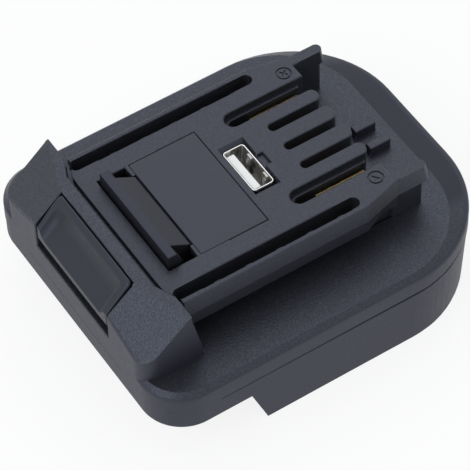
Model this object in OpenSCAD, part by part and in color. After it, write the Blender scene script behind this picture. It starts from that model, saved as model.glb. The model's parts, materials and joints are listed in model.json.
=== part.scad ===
// Battery adapter for cordless tools: a tool slides onto the rails on top,
// a battery of another system slides into the channel underneath.
// X runs across, Y from the release button to the terminals, Z up from the resting face.

/* [Plate] */
// Width across the plate
plate_w = 77; // [72:0.5:84]
// Length from the button end to the round end
plate_l = 93; // [90:0.5:100]
// Radius of the two front corners
front_r = 10.5; // [9:0.5:13]
// Radius of the two rear corners
rear_r = 27; // [20:0.5:32]
// Thickness of the casing walls
wall = 2.2; // [1.8:0.1:2.6]
// Height of the skirt below the flange
skirt_h = 10.4; // [9:0.2:14]
// Height of the lower casing's flange band
flange_h = 5.8; // [5:0.2:8]
// Height of the upper casing's rim band
rim_h = 4.5; // [3.6:0.1:6]
// Rise of the deck's sloped border
deck_rise = 1.4; // [0.8:0.1:2.2]
// Width of the sloped border along the sides
deck_edge = 1.3; // [1:0.1:2]
// Width of the sloped border at the round end
deck_edge_rear = 7.4; // [5:0.1:9]
// Radius of the flat deck's rear corners
deck_r = 21; // [16:0.5:24]
// Rounding of the rim's upper edge
rim_round = 0.8; // [0.6:0.1:1.4]
// Rounding of the flange's lower edge
foot_round = 0.6; // [0.4:0.1:1.2]

/* [Battery channel] */
// Thickness of the skirt
skirt_t = 3; // [2.4:0.1:3.6]
// How far the skirt's front edge lies behind the plate's front, at the top
skirt_back = 22.2; // [18:0.2:26]
// How far the skirt's front edge leans back towards its foot
skirt_lean = 3.9; // [0:0.1:6]
// How far the skirt leans in towards its foot at the round end
rear_step = 1; // [0.4:0.1:1.6]
// Clear width between the two battery rails
throat_w = 61; // [58:0.5:63]
// Height of the battery rails
lip_h = 3.4; // [2.6:0.1:4.4]
// Length of the battery rails
lip_l = 42; // [36:1:46]
// Thickness of the channel's roof
floor_t = 2.5; // [2.2:0.1:3]
// Width of the pocket that catches the battery's own hook
catch_w = 24; // [18:0.5:26]
// Length of that pocket
catch_l = 5.4; // [4.6:0.1:6]

/* [Rail platform] */
// Height of the platform above the deck
platform_h = 12.9; // [12:0.1:15]
// Width across the rails at the top
rail_w = 48.8; // [47.6:0.2:50]
// Widening of the rails below their shoulder, each side
rail_draft = 0.7; // [0.3:0.1:1]
// Thickness of the rails
rail_t = 7.9; // [7:0.1:8.4]
// Height of the rails' drafted upper band
rail_band = 4.3; // [3:0.1:5]
// Width of the web that carries the rails
web_w = 41.6; // [40.8:0.2:42.4]
// Thickness of the platform's top
top_t = 2.2; // [1.8:0.1:2.6]
// Width of the long side slots
groove_w = 3.1; // [2.4:0.1:3.4]
// Depth of the long side slots
groove_d = 5.4; // [4:0.1:6]
// Length of the long side slots
groove_l = 48; // [44:0.5:49]
// Width across the two rear wings
wing_w = 44; // [43.4:0.2:45]
// Thickness of the wings
wing_t = 2.6; // [2.2:0.1:3]
// Length of the wings behind the fingers
wing_l = 8.3; // [6:0.1:9]
// Widening of the wings below their top edge
wing_flare = 0.7; // [0.3:0.1:1]

/* [Terminals] */
// Distance between the signal slots
pitch = 6.53; // [6.2:0.01:6.8]
// Width of the signal slots
slot_w = 2.18; // [1.9:0.02:2.4]
// Width of the power slots
power_w = 4.2; // [4:0.05:4.4]
// Inner edge of the power slots from the middle
power_x = 11.3; // [11:0.1:11.8]
// Width of the step inside a power slot
ledge_w = 0.85; // [0.5:0.05:1.1]
// Depth of the step inside a power slot
ledge_d = 2; // [1:0.1:3]
// Fingers' rear end from the middle of the plate
finger_y = 24.9; // [24:0.1:26]
// Length of the signal slots
slot_l = 15.1; // [14:0.1:16]
// Length of the power slots
power_l = 22.3; // [20:0.1:22.6]
// Corner radius of the fingers' ends
tip_r = 1.6; // [1:0.1:1.8]

/* [Bezel and latch] */
// Depth of the bezel from the front to the platform's seam
bezel_d = 10.7; // [10.2:0.1:11.2]
// Height of the bezel's crest above the platform
crest_h = 2.2; // [1.6:0.1:3]
// Width across the two ears
ear_w = 60; // [57:0.5:62]
// Extra depth of the bezel at the ears
ear_step = 2.1; // [1.6:0.1:2.4]
// Fall of the ear faces towards the front, per millimetre
ear_fall = 0.85; // [0.7:0.01:0.95]
// Fall of the ear faces towards the sides, per millimetre
ear_splay = 0.287; // [0.2:0.01:0.32]
// Rounding of the ear faces' front edge
ear_round = 1.6; // [0.8:0.1:2]
// Width of the release button
button_w = 29.7; // [28:0.1:31]
// Depth of the release button from the front
button_d = 7.1; // [6.6:0.1:7.3]
// Height of the button's upright front face
button_face = 4; // [3:0.1:5]
// Height of the button's sloped thumb face
button_rise = 6.7; // [6:0.1:7.4]
// Depth of the button's thumb dish
dish_d = 1.5; // [0.8:0.1:1.6]
// Gap around the button and the hook
gap = 0.35; // [0.3:0.05:0.5]
// Travel of the button and the hook
travel = 3.2; // [2.6:0.1:3.4]
// Width of the hook's bar
hook_w = 28.7; // [27:0.1:29.4]
// Length of the hook's bar and ramp
hook_l = 7.45; // [7:0.05:8]
// Length of the hook's flat crest
hook_flat = 2.2; // [1.4:0.1:3]

/* [Socket and panel] */
// Width of the charging socket's metal shell
usb_w = 13.1; // [12.8:0.1:13.4]
// Depth of the charging socket's metal shell
usb_d = 5.7; // [5.5:0.1:6]
// Thickness of the socket's sheet metal
usb_t = 0.3; // [0.2:0.05:0.4]
// Width of the bare panel
panel_w = 30.2; // [28:0.2:32]
// Length of the bare panel
panel_l = 17.3; // [16:0.1:18]
// Thickness of the bare panel
panel_t = 0.8; // [0.6:0.1:1]

/* [Hidden] */
$fn = 48;

// Small overlap for clean cuts
eps = 0.01;
// Clearance between fixed pieces that sit in one another
fit = 0.25;
// Clearance between pieces that rest on one another
seat = 0.05;
// More than the part's size, for cuts that run right through
far = 200;

// Heights from the resting face
z_floor = skirt_h + floor_t;
z_seam = skirt_h + flange_h;
z_rim = z_seam + rim_h;
z_deck = z_rim + deck_rise;
z_under = z_deck - wall;
z_top = z_deck + platform_h;
z_crest = z_top + crest_h;
z_rail = z_top - rail_t;

// Places along the plate
y_front = -plate_l / 2;
y_strip = y_front + bezel_d;
y_ear = y_strip + ear_step;
y_pocket = y_front + button_d + gap;
y_hook = y_strip + 5.6 + gap;
y_panel = y_hook + hook_l + 0.3;
y_wing = finger_y + wing_l;

// Seam between the bezel and the platform bends between these two distances from the middle
bend_in = 18.3;
bend_out = 23;
function seam_y(x) = y_strip + min(1, max(0, (abs(x) - bend_in) / (bend_out - bend_in))) * ear_step;

// The rails narrow to the wings over this stretch
jog_y = finger_y - 9.6;
jog_l = 5.2;

// Shadow groove between the two casings, which opens towards the round end
shadow_h = 0.95;
shadow_d = 1.2;
skirt_inset = 0.12;

// Flange that traps the platform under the deck
trap_t = 1.6;
trap_out = 3.4;
z_trap = z_under - 0.1 - trap_t;

// Keying ribs on the deck
rib_x = 3;

// Contact carrier under the terminal slots
carrier_h = 6;
carrier_y = 8.2;
z_carrier = z_deck + 0.9;
web_in = web_w / 2 - wall;

// Circuit board
board_w = 32;
board_t = 1.6;
board_y0 = -19;
board_y1 = 7;
z_board = z_floor + 5.6;
z_parts = z_board + board_t;
board_hole = [board_w / 2 - 2.5, 2.5];

// Latch
hook_h = travel;
z_hook = z_top + hook_h;
base_t = 3.5;
z_button = z_crest - button_rise - button_face;
z_base = z_button - 1.5;
base_w = 26;
block_w = 23;
z_block = z_top - top_t - 0.4;
post_x = 9;
post_y = y_hook + 3.3;
post_r = 1.5;
post_gap = 0.3;
z_post = z_base + 2.5;
peg = [4, 3.2, 2];
peg_x = 8;
spring_r = 2.7;
spring_wire = 0.7;
spring_turns = 5;
spring_sides = 6;
spring_rings = 8;

// Charging socket
usb_drop = 0.35;
panel_gap = 0.1;
z_usb = z_top - usb_drop;
tongue_t = 1.85;
tongue_w = 11.1;
tongue_drop = 0.8;

// Battery terminals
block_y0 = 24;
block_y1 = 31;
blade_x = 10.5;
blade_t = 1;
blade_l = 15;
blade_h = 5;
z_blade = 4.6;
tail_top = z_floor + 2.8;

// Fasteners
screw_r = 1.2;
screw_head_r = 2.3;
screw_head_h = 1.5;
shell_screw_l = 6.4;
shell_boss_r = 3.1;
boss_wall = wall + skirt_inset + shell_boss_r;
front_in = front_r - (front_r - boss_wall - fit) * cos(45);
front_boss = [plate_w / 2 - front_in, y_front + front_in];
rear_in = rear_r - (rear_r - boss_wall - fit - rear_step) * cos(45);
rear_boss = [plate_w / 2 - rear_in, plate_l / 2 - rear_in];
small_screw_r = 0.95;
small_head_r = 1.8;
small_head_h = 1.1;

casing_colour = "#25272d";
inner_colour = "#1b1c20";
brass_colour = "#c8a24a";
steel_colour = "#c9ccd0";

// A box from its lowest and highest corners
module box(x0, x1, y0, y1, z0, z1) {
    translate([x0, y0, z0]) cube([x1 - x0, y1 - y0, z1 - z0]);
}

// A shape in X and Z, drawn out along Y
module along_y(y0, y1) {
    translate([0, y1, 0]) rotate([90, 0, 0]) linear_extrude(y1 - y0) children();
}

// A shape in Y and Z, drawn out along X
module along_x(x0, x1) {
    translate([x0, 0, 0]) rotate([90, 0, 90]) linear_extrude(x1 - x0) children();
}

// Copies on both sides of the middle
module both_sides() {
    children();
    mirror([1, 0, 0]) children();
}

// The plate's outline, moved in by d all round and by rear more at the round end
module plate_outline(d = 0, rear = 0, r = rear_r) {
    $fn = 72;
    fx = plate_w / 2 - front_r;
    fy = plate_l / 2 - front_r;
    rx = plate_w / 2 - r;
    ry = plate_l / 2 - rear - r;
    for (s = [-1, 1]) {
        translate([s * fx, -fy]) circle(front_r - d);
        translate([s * rx, ry]) circle(r - d);
    }
    translate([d - plate_w / 2, -fy]) square([plate_w - 2 * d, fy + ry]);
    translate([-fx, d - plate_l / 2]) square([2 * fx, plate_l / 2]);
    translate([-rx, 0]) square([2 * rx, plate_l / 2 - rear - d]);
}

// A thin slice of a flat shape at height z
module slice(z) {
    translate([0, 0, z]) linear_extrude(eps) children();
}

// Everything beyond the plane through a point, on the side its normal points to
module beyond(point, normal) {
    n = normal / norm(normal);
    translate(point)
        rotate([0, acos(n[2]), atan2(n[1], n[0])])
            translate([-far / 4, -far / 4, 0]) cube([far / 2, far / 2, far / 4]);
}

// A slot with one round end at y0, running on to y1
module round_slot(x0, x1, y0, y1) {
    r = (x1 - x0) / 2;
    translate([x0 + r, y0 + r]) circle(r);
    translate([x0, y0 + r]) square([x1 - x0, y1 - y0 - r]);
}

// A screw standing on its head, with a cross recess, axis along +Z
module screw(r, l, head_r, head_h) {
    difference() {
        union() {
            cylinder(r = head_r, h = head_h);
            cylinder(r = r, h = head_h + l);
        }
        for (a = [0, 90])
            rotate(a) box(-head_r * 0.6, head_r * 0.6, -0.25, 0.25, -eps, head_h * 0.5);
    }
}

// Ring of points around c, square to the direction along
function ring(c, along, r, sides) =
    let (
        across = cross(along, [0, 0, 1]),
        up = cross(across, along)
    )
        [
            for (k = [0 : sides - 1])
                let (a = 360 * k / sides)
                    c + r * (cos(a) * across / norm(across) + sin(a) * up / norm(up))
        ];

// A tube through the points, whose rings stand square to the directions
module tube(points, directions, r, sides) {
    last = len(points) - 1;
    rings = [for (i = [0 : last]) each ring(points[i], directions[i], r, sides)];
    walls = [
        for (i = [0 : last - 1], k = [0 : sides - 1])
            let (
                a = i * sides + k,
                b = i * sides + (k + 1) % sides
            )
                each [[a, b, b + sides], [a, b + sides, a + sides]]
    ];
    first_end = [for (k = [1 : sides - 2]) [0, k + 1, k]];
    end = last * sides;
    last_end = [for (k = [1 : sides - 2]) [end, end + k, end + k + 1]];
    polyhedron(rings, concat(walls, first_end, last_end));
}

// A round lead that leaves start and reaches finish along +Y, with an S-bend between
module lead(start, finish, r) {
    steps = 12;
    run = finish - start;
    side = [run[0], 0, run[2]];
    ahead = [0, run[1], 0];
    ts = [for (i = [0 : steps]) i / steps];
    points = [for (t = ts) start + t * ahead + (1 - cos(180 * t)) / 2 * side];
    directions = [for (t = ts) ahead + PI / 2 * sin(180 * t) * side];
    tube(points, directions, r, 8);
}

// Lower casing: flange, channel roof, skirt and battery rails

// Skirt with the battery rails, solid above the channel and leaning in at the round end
module skirt() {
    lip_out = plate_w / 2 - skirt_t;
    y_skirt = y_front + skirt_back;
    difference() {
        union() {
            difference() {
                hull() {
                    slice(0) plate_outline(skirt_inset, rear_step);
                    slice(z_seam - seat - eps) plate_outline(skirt_inset);
                }
                translate([0, 0, -1]) linear_extrude(skirt_h + 1)
                    plate_outline(skirt_t + skirt_inset, rear_step);
            }
            both_sides()
                box(throat_w / 2, lip_out, y_skirt, y_skirt + skirt_lean + lip_l, 0, lip_h);
        }
        along_x(-far / 2, far / 2) polygon([
            [-far, -1], [y_skirt + skirt_lean, -1], [y_skirt + skirt_lean, 0], [y_skirt, skirt_h],
            [y_skirt, far], [-far, far]
        ]);
    }
}

module lower_shell() {
    catch_y = y_front + 8.2;
    color(casing_colour) difference() {
        union() {
            difference() {
                union() {
                    hull() {
                        for (step = [[0, 1], [0.3, 0.3], [1, 0]])
                            slice(skirt_h + step[0] * foot_round)
                                plate_outline(skirt_inset + step[1] * foot_round, rear_step);
                    }
                    translate([0, 0, skirt_h + foot_round])
                        linear_extrude(flange_h - foot_round - seat) plate_outline(skirt_inset, rear_step);
                    skirt();
                }
                translate([0, 0, z_floor]) linear_extrude(flange_h)
                    plate_outline(wall + skirt_inset, rear_step);
                intersection() {
                    translate([0, 0, skirt_h]) linear_extrude(flange_h) difference() {
                        plate_outline(-1);
                        plate_outline(shadow_d);
                    }
                    along_x(-far / 2, far / 2) polygon([
                        [y_front, z_seam - seat], [plate_l / 2, z_seam - shadow_h],
                        [plate_l / 2, z_seam], [y_front, z_seam]
                    ]);
                }
            }
            // Posts under the trapped flange, the board and the contact carrier
            both_sides() {
                box(web_in + 1.2, web_in + 3.2, y_hook, finger_y - 2, z_floor - eps, z_trap - seat);
                for (y = [board_y0 + board_hole[1], board_y1 - board_hole[1]])
                    translate([board_hole[0], y, z_floor - eps])
                        cylinder(r = 2.3, h = z_board - z_floor - seat);
                for (y = [carrier_y + 1.8, finger_y - 2.6])
                    translate([web_in - 2, y, z_floor - eps])
                        cylinder(r = 1.6, h = z_carrier - carrier_h - z_floor - seat);
                translate([post_x, post_y, z_floor - eps]) cylinder(r = post_r, h = z_post - z_floor);
            }
            box(-catch_w / 2 - wall, catch_w / 2 + wall, catch_y - wall, catch_y + catch_l + wall,
                skirt_h, z_floor + floor_t);
        }
        // Pocket for the battery's hook
        box(-catch_w / 2, catch_w / 2, catch_y, catch_y + catch_l, skirt_h - 1, z_floor + 0.4);
        both_sides() {
            for (p = [front_boss, rear_boss]) translate([p[0], p[1], 0]) {
                cylinder(r = screw_r + 0.3, h = far);
                translate([0, 0, skirt_h - 1]) cylinder(r = screw_head_r + 0.3, h = screw_head_h + 1.1);
            }
            for (y = [board_y0 + board_hole[1], board_y1 - board_hole[1]])
                translate([board_hole[0], y, z_floor + 0.4]) cylinder(r = small_screw_r + seat, h = far);
            // Slots for the blades' tails, pilot holes for the terminal block
            box(blade_x - blade_t / 2 - fit, blade_x + blade_t / 2 + fit, block_y0 + 1, block_y0 + 5.5,
                skirt_h - 1, far);
            translate([blade_x + 4.6, (block_y0 + block_y1) / 2, skirt_h - 1])
                cylinder(r = small_screw_r + seat, h = far);
        }
        box(-pitch / 2 - 1, pitch / 2 + 1, block_y0 + 1, block_y0 + 3.5, skirt_h - 1, far);
    }
}

// Upper casing: rim, deck, bezel with its two ears

module bezel_plan() {
    corner_r = 4;
    hw = ear_w / 2;
    for (s = [-1, 1]) translate([s * (hw - corner_r), y_front + corner_r]) circle(corner_r);
    translate([corner_r - hw, y_front]) square([ear_w - 2 * corner_r, corner_r]);
    polygon([
        [-hw, y_front + corner_r], [hw, y_front + corner_r], [hw, y_ear], [bend_out, y_ear],
        [bend_in, y_strip], [-bend_in, y_strip], [-bend_out, y_ear], [-hw, y_ear]
    ]);
}

// The ear's sloping face, with a round edge towards the front wall
module ear_cut() {
    steps = 4;
    face = [ear_splay, -ear_fall, 1] / norm([ear_splay, -ear_fall, 1]);
    front = [0, -1, 0];
    apex = [ear_w / 2, y_ear - 0.4, z_crest];
    // Axis of the round edge, above the ear's outer side
    axis_y = y_front + ear_round;
    axis_z = apex[2] - (ear_round + face[1] * (axis_y - apex[1])) / face[2];
    axis = [apex[0], axis_y, axis_z];
    beyond(apex, face);
    for (i = [1 : steps - 1]) {
        t = i / steps;
        n = (1 - t) * face + t * front;
        beyond(axis + ear_round * n / norm(n), n);
    }
}

module bezel() {
    foot = 2.9;
    difference() {
        union() {
            translate([0, 0, z_seam]) linear_extrude(z_crest - z_seam) bezel_plan();
            // Gusset behind each ear, outside the rail
            both_sides()
                along_x(rail_w / 2 + rail_draft + gap, ear_w / 2) polygon([
                    [y_ear - eps, z_under], [y_ear + foot, z_under], [y_ear + foot, z_deck],
                    [y_ear - eps, z_crest - 1]
                ]);
        }
        both_sides() ear_cut();
    }
}

module upper_cover() {
    web = web_w / 2 + fit;
    pocket_w = button_w + 2 * gap;
    window_w = base_w + 2 * gap;
    color(casing_colour) difference() {
        union() {
            difference() {
                union() {
                    translate([0, 0, z_seam]) linear_extrude(rim_h - rim_round) plate_outline();
                    hull() {
                        // Height, side and rear steps of the round edge, as shares of its radius
                        for (step = [[-1, 0, 0], [-0.35, 0.05, 0.25], [0.05, 0.15, 0.85]])
                            slice(z_rim + step[0] * rim_round - eps)
                                plate_outline(step[1] * rim_round, step[2] * rim_round);
                        slice(z_deck - eps)
                            plate_outline(deck_edge, deck_edge_rear - deck_edge, deck_r + deck_edge);
                    }
                    bezel();
                }
                translate([0, 0, z_seam - 1]) linear_extrude(z_under - z_seam + 1) plate_outline(wall);
                // Hollow ears
                both_sides()
                    box(pocket_w / 2 + wall, ear_w / 2 - wall, y_front + wall, y_ear - wall,
                        z_seam, z_deck + 3);
            }
            both_sides()
                for (p = [front_boss, rear_boss])
                    translate([p[0], p[1], z_floor + seat])
                        cylinder(r = shell_boss_r, h = z_under - z_floor);
            // Two keying ribs behind the middle fingers
            for (s = [-1, 1])
                translate([s * rib_x, 0, 0])
                    box(-1.1, 1.1, finger_y + 5.4, finger_y + 11.1, z_under, z_deck + 2.5);
        }
        // Opening for the platform
        translate([0, 0, z_seam - 1]) linear_extrude(z_deck - z_seam + 2) polygon([
            [-web, seam_y(web)], [-bend_in, y_strip], [bend_in, y_strip], [web, seam_y(web)],
            [web, finger_y + fit], [-web, finger_y + fit]
        ]);
        // Pocket for the button, window for the latch
        box(-pocket_w / 2, pocket_w / 2, y_front - 1, y_pocket, z_button - travel - gap, far);
        box(-window_w / 2, window_w / 2, y_pocket - 1, y_strip + 1,
            z_base - travel - gap, z_base + base_t + gap);
        both_sides()
            for (p = [front_boss, rear_boss])
                translate([p[0], p[1], z_floor - 1]) cylinder(r = screw_r + seat, h = shell_screw_l + 1.4);
    }
}

// Rail platform with the terminal fingers and wings

// Outline of the two rails, narrowing towards the wings, widened by d
module rails_outline(d = 0) {
    out = rail_w / 2 + d;
    neck = wing_w / 2 + d;
    polygon([
        [-out, y_strip], [out, y_strip], [out, jog_y], [neck, jog_y + jog_l], [neck, finger_y],
        [-neck, finger_y], [-neck, jog_y + jog_l], [-out, jog_y]
    ]);
}

// Everything behind the bezel's bent seam, from the distance open on
module behind_seam(open = fit) {
    polygon([
        [-bend_out, y_ear + open], [-bend_in, y_strip + open], [bend_in, y_strip + open],
        [bend_out, y_ear + open], [far, y_ear + open], [far, far], [-far, far], [-far, y_ear + open]
    ]);
}

// The two round ends of one wing's plan, widened by d
module wing_ends(d = 0) {
    r = (wing_t + d) / 2;
    for (y = [finger_y, y_wing + d - r]) translate([wing_w / 2 + d - r, y]) circle(r, $fn = 32);
}

module wing() {
    undercut = 0.5;
    hull() {
        slice(z_top - eps) wing_ends();
        slice(z_top - rail_band) wing_ends(wing_flare);
    }
    translate([0, 0, z_deck + seat])
        linear_extrude(platform_h - rail_band) hull() wing_ends(-undercut);
}

module finger_tips() {
    edges = [
        [-power_x, -pitch - slot_w / 2], [-pitch + slot_w / 2, -slot_w / 2],
        [slot_w / 2, pitch - slot_w / 2], [pitch + slot_w / 2, power_x]
    ];
    for (e = edges) {
        translate([e[0] + tip_r, finger_y - tip_r]) circle(tip_r);
        translate([e[1] - tip_r, finger_y - tip_r]) circle(tip_r);
        translate([e[0] + tip_r, finger_y - tip_r]) square([e[1] - e[0] - 2 * tip_r, tip_r]);
        translate([e[0], finger_y - tip_r - 1]) square([e[1] - e[0], 1]);
    }
    pad = power_x + power_w;
    for (s = [0, 1])
        mirror([s, 0])
            translate([pad, finger_y - tip_r - 1]) square([wing_w / 2 - wing_t - pad, tip_r + 1]);
}

module terminal_slots() {
    power_y = finger_y - power_l;
    z_cut = z_carrier - 1;
    for (i = [-1, 0, 1])
        translate([i * pitch, 0, z_cut]) linear_extrude(far)
            round_slot(-slot_w / 2, slot_w / 2, finger_y - slot_l, finger_y + eps);
    // Each power slot has its step on the left
    for (x = [-power_x - power_w, power_x]) {
        translate([x, 0, z_cut]) linear_extrude(far)
            round_slot(ledge_w, power_w, power_y + 0.8, finger_y + eps);
        translate([x, 0, z_top - ledge_d]) linear_extrude(far)
            round_slot(0, power_w, power_y, finger_y + eps);
    }
}

// Round polarity marks, a plus on the left and a minus on the right
module polarity_marks() {
    mark_x = power_x + power_w + 3;
    mark_r = 1.85;
    line = 0.35;
    for (s = [-1, 1])
        translate([s * mark_x, finger_y - 3.2, z_top - 0.3]) {
            difference() {
                cylinder(r = mark_r, h = 1);
                translate([0, 0, -1]) cylinder(r = mark_r - line, h = 3);
            }
            rotate(40) box(-1, 1, -line / 2, line / 2, 0, 1);
            if (s < 0) rotate(130) box(-1, 1, -line / 2, line / 2, 0, 1);
        }
}

module rail_platform() {
    bay = wing_w / 2 - wing_t;
    groove_out = rail_w / 2 - 1.2;
    rib_pitch = 8;
    color(casing_colour) {
        difference() {
            union() {
                difference() {
                    intersection() {
                        union() {
                            hull() {
                                slice(z_top - eps) rails_outline();
                                slice(z_top - rail_band) rails_outline(rail_draft);
                            }
                            translate([0, 0, z_rail])
                                linear_extrude(rail_t - rail_band) rails_outline(rail_draft);
                            box(-web_w / 2, web_w / 2, y_strip, finger_y, z_trap, z_rail + eps);
                        }
                        translate([0, 0, z_trap]) linear_extrude(far) behind_seam();
                    }
                    // Bay between the wings, and room for the deck under them
                    box(-bay, bay, finger_y - tip_r, y_wing + 1, z_trap - 1, z_top + 1);
                    box(-far, far, finger_y, far, z_trap - 1, z_deck + seat);
                }
                translate([0, 0, z_carrier + fit]) linear_extrude(z_top - z_carrier - fit) finger_tips();
                both_sides() wing();
                // Flange trapped under the deck
                box(-web_w / 2 - trap_out, web_w / 2 + trap_out, y_ear + 1, finger_y + 2.6,
                    z_trap, z_trap + trap_t);
            }
            // Front hollow over the latch and the board, then the hollow under the terminals
            box(-web_in, web_in, y_front, usb_d / 2 - 1.4, z_trap - 1, z_top - top_t);
            box(-web_in, web_in, y_front, finger_y - eps, z_trap - 1, z_carrier + fit);
            terminal_slots();
            polarity_marks();
            // Groove along the seam, wide enough to be seen past the bezel's crest
            translate([0, 0, z_top - 1]) linear_extrude(far) difference() {
                translate([0, -1]) behind_seam();
                behind_seam(0.65 * crest_h);
            }
            // Long side slots
            both_sides()
                translate([0, 0, z_top - groove_d]) linear_extrude(groove_d + 1) {
                    round_slot(groove_out - groove_w, groove_out, y_ear + 0.6, y_ear + groove_l / 2);
                    mirror([0, 1])
                        round_slot(groove_out - groove_w, groove_out, -y_ear - 0.6 - groove_l, -y_ear - 2);
                }
            // Opening for the hook and its ramp
            box(-hook_w / 2 - gap - 0.3, hook_w / 2 + gap + 0.3, y_hook - gap, y_panel - 0.9, z_deck, far);
            box(-block_w / 2 - gap, block_w / 2 + gap, y_hook, y_panel, z_deck, far);
            // Seat of the bare panel
            box(-panel_w / 2 - panel_gap, panel_w / 2 + panel_gap, y_panel,
                y_panel + panel_l + 2 * panel_gap, z_top - panel_t, far);
            // Socket well with its lead-in and finger notch
            box(-usb_w / 2 - fit, usb_w / 2 + fit, -usb_d / 2 - fit, usb_d / 2 + fit, z_deck, far);
            hull() {
                box(-usb_w / 2 - fit, usb_w / 2 + fit, -usb_d / 2 - fit, usb_d / 2 + fit,
                    z_top - 1.2, z_top - 1);
                box(-usb_w / 2 - 1.3, usb_w / 2 + 1.3, -usb_d / 2 - fit, usb_d / 2 + 0.7, z_top, z_top + 1);
            }
            box(-1.8, 1.8, 0, usb_d / 2 + 2.1, z_top - 0.9, far);
        }
        // Small ribs on the right-hand wall of each side slot
        for (x = [groove_out, groove_w - groove_out], i = [0 : floor((groove_l - 6) / rib_pitch)])
            translate([x, y_ear + 3 + i * rib_pitch, 0])
                box(-0.7, 0.3, -0.9, 0.9, z_top - groove_d - eps, z_top - 0.8);
    }
}

module label_panel() {
    color("#1f2126")
        box(-panel_w / 2, panel_w / 2, y_panel + panel_gap, y_panel + panel_gap + panel_l,
            z_top - panel_t + seat, z_top);
}

// Contacts on the tool's side

power_mid = power_x + (power_w + ledge_w) / 2;
pos_x = -power_x - (power_w - ledge_w) / 2;
tail = [1.6, 2.4];
tail_y = finger_y - 9;
sig_tail = [0.7, 1.4];

module contact_carrier() {
    color(inner_colour) difference() {
        box(fit - web_in, web_in - fit, carrier_y, finger_y - 0.4, z_carrier - carrier_h, z_carrier);
        for (x = [pos_x, power_mid])
            translate([x, tail_y, 0])
                box(-tail[0] / 2 - seat, tail[0] / 2 + seat, -tail[1] / 2 - seat, tail[1] / 2 + seat,
                    0, far);
        for (i = [-1, 0, 1])
            translate([i * pitch, tail_y, 0])
                box(-sig_tail[0] / 2 - seat, sig_tail[0] / 2 + seat, -sig_tail[1] / 2 - seat,
                    sig_tail[1] / 2 + seat, 0, far);
    }
}

// A forked contact: two springy leaves on a base, with a tail through the carrier
module fork(w, leaf, l, h, tail_size) {
    z0 = z_carrier + seat;
    box(-w / 2, w / 2, -l / 2, l / 2, z0, z0 + leaf);
    both_sides() {
        box(w / 2 - leaf, w / 2, -l / 2, l / 2, z0, z0 + h);
        // Rolled lead-in at the rear end of the leaf
        translate([w / 2 - leaf, l / 2 - leaf, z0]) cylinder(r = leaf * 0.9, h = h);
    }
    box(-tail_size[0] / 2, tail_size[0] / 2, -tail_size[1] / 2, tail_size[1] / 2,
        z_carrier - carrier_h - 2.2, z0 + leaf / 2);
}

module power_fork(x) {
    fork_w = 2.6;
    leaf_t = 0.5;
    fork_l = 13;
    fork_h = 8.2;
    color(brass_colour) translate([x, tail_y, 0]) fork(fork_w, leaf_t, fork_l, fork_h, tail);
}

module positive_clip() {
    power_fork(pos_x);
}

module negative_clip() {
    power_fork(power_mid);
}

module signal_clips() {
    fork_w = 1.6;
    leaf_t = 0.3;
    fork_l = 9;
    fork_h = 7.2;
    color(brass_colour)
        for (i = [-1, 0, 1])
            translate([i * pitch, tail_y, 0]) fork(fork_w, leaf_t, fork_l, fork_h, sig_tail);
}

// Charging socket

module usb_shell() {
    inner = usb_d / 2 - usb_t;
    color(steel_colour) {
        difference() {
            box(-usb_w / 2, usb_w / 2, -usb_d / 2, usb_d / 2, z_parts + seat, z_usb);
            box(usb_t - usb_w / 2, usb_w / 2 - usb_t, -inner, inner, 0, far);
        }
        // Two spring tongues on the rear wall
        for (s = [-1, 1])
            translate([s * 3.2, 0, 0])
                along_x(-0.8, 0.8) polygon([
                    [inner + eps, z_usb - 1.2], [inner + eps, z_usb - 6.4], [inner - 0.55, z_usb - 3.4],
                    [inner - 0.35, z_usb - 2]
                ]);
    }
}

module usb_insulator() {
    inner = usb_d / 2 - usb_t - 0.1;
    base_h = 3.6;
    color("#e9eae6") {
        box(usb_t + 0.1 - usb_w / 2, usb_w / 2 - usb_t - 0.1, -inner, inner,
            z_parts + seat, z_parts + base_h);
        box(-tongue_w / 2, tongue_w / 2, 0.3 - inner, 0.3 - inner + tongue_t,
            z_parts + base_h - eps, z_usb - tongue_drop);
    }
}

module usb_contacts() {
    face = 0.3 - (usb_d / 2 - usb_t - 0.1) + tongue_t;
    color(brass_colour)
        for (x = [-3.5, -1, 1, 3.5])
            box(x - 0.5, x + 0.5, face, face + 0.2, z_parts + 3.6, z_usb - tongue_drop - 1.2);
}

// Converter board

module circuit_board() {
    color("#1f5a3a") difference() {
        box(-board_w / 2, board_w / 2, board_y0, board_y1, z_board, z_parts);
        both_sides()
            for (y = [board_y0 + board_hole[1], board_y1 - board_hole[1]])
                translate([board_hole[0], y, 0]) cylinder(r = small_screw_r + 0.15, h = far);
    }
}

module choke() {
    at = [-7.5, -9];
    flange_r = 4.2;
    core_r = 3.2;
    flange_t = 1;
    choke_h = 5;
    color("#3a3b3f") translate([at[0], at[1], z_parts + seat]) {
        cylinder(r = core_r, h = choke_h);
        for (z = [0, choke_h - flange_t]) translate([0, 0, z]) cylinder(r = flange_r, h = flange_t);
    }
}

module capacitors() {
    can_x = 8.4;
    can_r = 2.7;
    can_h = 8;
    color("#2c3d6b")
        for (y = [-13.6, -7.4]) translate([can_x, y, z_parts + seat]) cylinder(r = can_r, h = can_h);
}

module converter_chip() {
    chip_y = -11.5;
    chip = [5, 4, 1.4];
    leg_w = 0.4;
    leg_out = 0.9;
    leg_t = 0.45;
    lift = 0.3;
    reach = chip[1] / 2 + leg_out;
    color("#17181a") translate([0, chip_y, z_parts]) {
        box(-chip[0] / 2, chip[0] / 2, -chip[1] / 2, chip[1] / 2, lift, lift + chip[2]);
        for (i = [-1.5 : 1 : 1.5])
            box(i - leg_w / 2, i + leg_w / 2, -reach, reach, seat, seat + leg_t);
    }
}

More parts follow.
